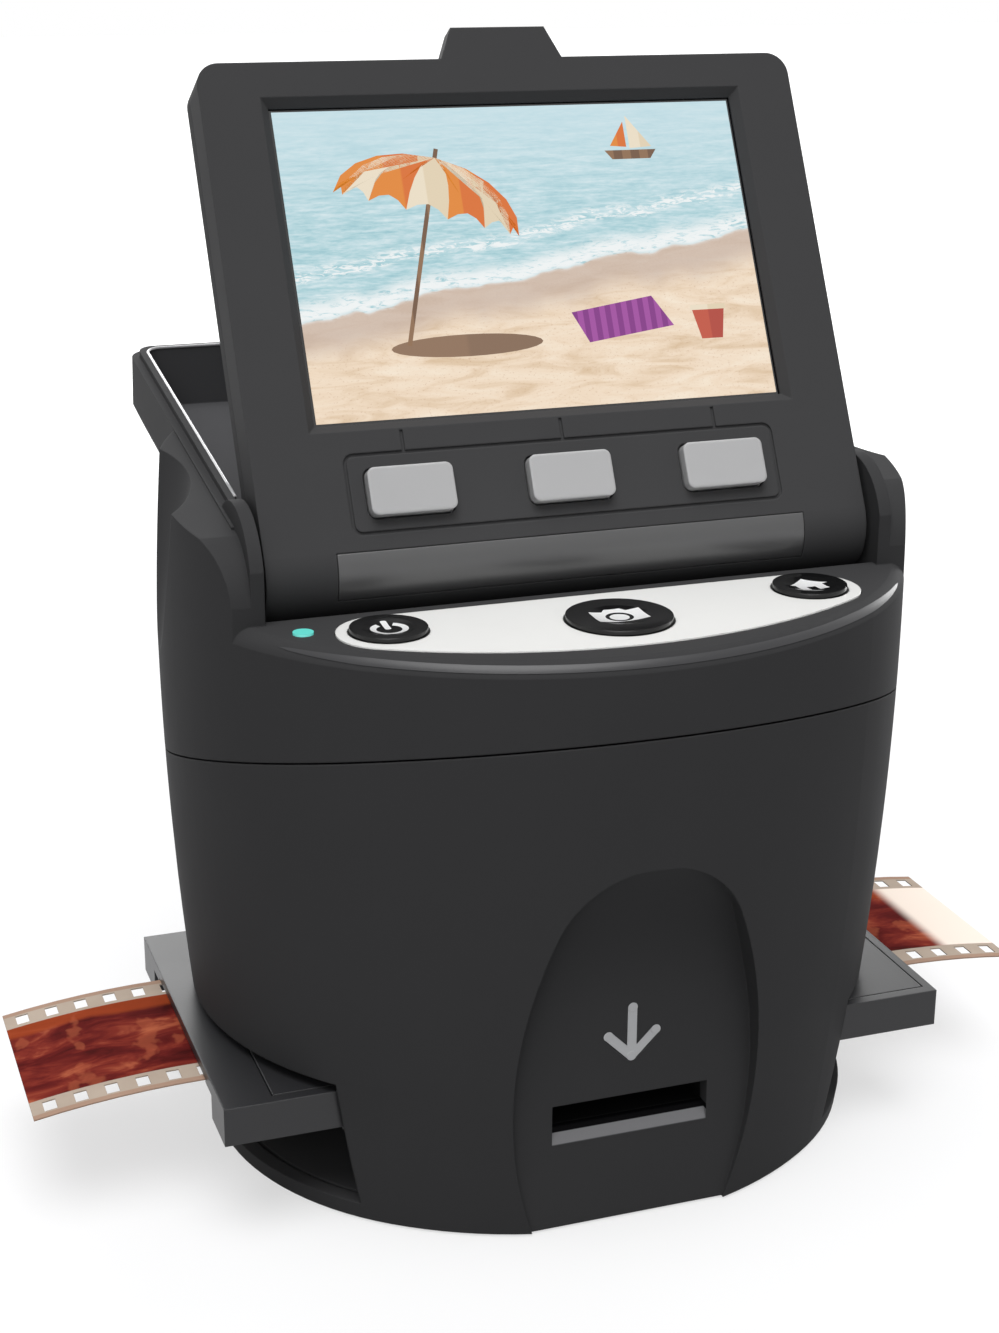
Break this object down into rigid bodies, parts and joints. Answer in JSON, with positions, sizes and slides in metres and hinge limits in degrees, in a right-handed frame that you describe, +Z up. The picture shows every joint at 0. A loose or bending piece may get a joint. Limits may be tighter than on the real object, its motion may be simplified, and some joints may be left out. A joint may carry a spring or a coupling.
{
  "type": "film negative scanner",
  "caption": "Oval desktop film scanner with a flip-up display lid, a crescent control deck and a sliding film tray.",
  "frame": {"origin": "on the table, on the upright axis of the oval body", "axes": "+X to the right and along the film and tray, +Y to the rear, +Z up"},
  "size_m": [0.167, 0.1189, 0.1728],
  "materials": {
    "shell_dark": "fine spark-eroded texture, satin",
    "lid_face": "smooth satin",
    "foot_rubber": "matt",
    "screw_steel": "turned",
    "pin_steel": "ground",
    "fascia_white": "glossy white",
    "led_lens": "lit teal window",
    "silver_print": "silver print",
    "socket_metal": "plated sheet",
    "chassis_plastic": "moulded",
    "light_box_white": "white moulded",
    "board_white": "white solder mask",
    "led_chip": "phosphor",
    "diffuser_milk": "milky",
    "optic_black": "light-trap black",
    "lens_glass": "coated glass",
    "board_green": "green solder mask",
    "chip_black": "epoxy",
    "button_gloss": "high gloss black",
    "screen_glass": "glossy display cover with a picture",
    "panel_metal": "satin frame",
    "key_silver": "silver lacquer",
    "tray_plastic": "satin",
    "film_base": "colour negative film"
  },
  "bodies": {
    "root": {"base_plate": "shell_dark", "rubber_feet": "foot_rubber", "base_screws": "screw_steel", "lower_shell": "shell_dark", "top_shell": "shell_dark", "control_fascia": "fascia_white", "led_window": "led_lens", "status_led": "led_lens", "slot_arrow": "silver_print", "card_socket": "socket_metal", "optic_chassis": "chassis_plastic", "light_box": "light_box_white", "backlight_board": "board_white", "backlight_leds": "led_chip", "diffuser": "diffuser_milk", "optic_column": "optic_black", "column_screws": "screw_steel", "lens_barrel": "optic_black", "lens_elements": "lens_glass", "sensor_board": "board_green", "image_sensor": "chip_black", "main_board": "board_green", "board_screws": "screw_steel", "main_chips": "chip_black", "hdmi_socket": "socket_metal", "usb_socket": "socket_metal", "control_board": "board_green", "deck_switches": "socket_metal", "hinge_pins": "pin_steel"},
    "lid": {"lid_bezel": "lid_face", "lid_back": "shell_dark", "lid_screws": "screw_steel", "hinge_cover": "lid_face", "lcd_glass": "screen_glass", "lcd_panel": "panel_metal", "key_board": "board_green", "key_domes": "socket_metal"},
    "tray": {"tray_base": "tray_plastic", "tray_cover": "tray_plastic", "film_strip": "film_base"},
    "power_button": {"power_button": "button_gloss"},
    "capture_button": {"capture_button": "button_gloss"},
    "home_button": {"home_button": "button_gloss"},
    "left_key": {"left_key": "key_silver"},
    "middle_key": {"middle_key": "key_silver"},
    "right_key": {"right_key": "key_silver"}
  },
  "joints": [
    {"name": "lid_hinge", "type": "hinge", "parent": "root", "child": "lid", "pos_m": [0, -0.0126, 0.0984], "axis": [-1, 0, 0], "range_deg": [0, 53.7]},
    {"name": "tray_slide", "type": "slide", "parent": "root", "child": "tray", "axis": [1, 0, 0], "range_m": [-0.038, 0.038]},
    {"name": "power_press", "type": "slide", "parent": "root", "child": "power_button", "axis": [0, 0, -1], "range_m": [0, 0.0008], "stiffness_N_per_m": 1200, "springref_m": -0.0003},
    {"name": "capture_press", "type": "slide", "parent": "root", "child": "capture_button", "axis": [0, 0, -1], "range_m": [0, 0.0008], "stiffness_N_per_m": 1200, "springref_m": -0.0003},
    {"name": "home_press", "type": "slide", "parent": "root", "child": "home_button", "axis": [0, 0, -1], "range_m": [0, 0.0008], "stiffness_N_per_m": 1200, "springref_m": -0.0003},
    {"name": "left_key_press", "type": "slide", "parent": "lid", "child": "left_key", "axis": [0, 0.8838, -0.4679], "range_m": [0, 0.0004], "stiffness_N_per_m": 1200, "springref_m": -0.0003},
    {"name": "middle_key_press", "type": "slide", "parent": "lid", "child": "middle_key", "axis": [0, 0.8838, -0.4679], "range_m": [0, 0.0004], "stiffness_N_per_m": 1200, "springref_m": -0.0003},
    {"name": "right_key_press", "type": "slide", "parent": "lid", "child": "right_key", "axis": [0, 0.8838, -0.4679], "range_m": [0, 0.0004], "stiffness_N_per_m": 1200, "springref_m": -0.0003}
  ]
}
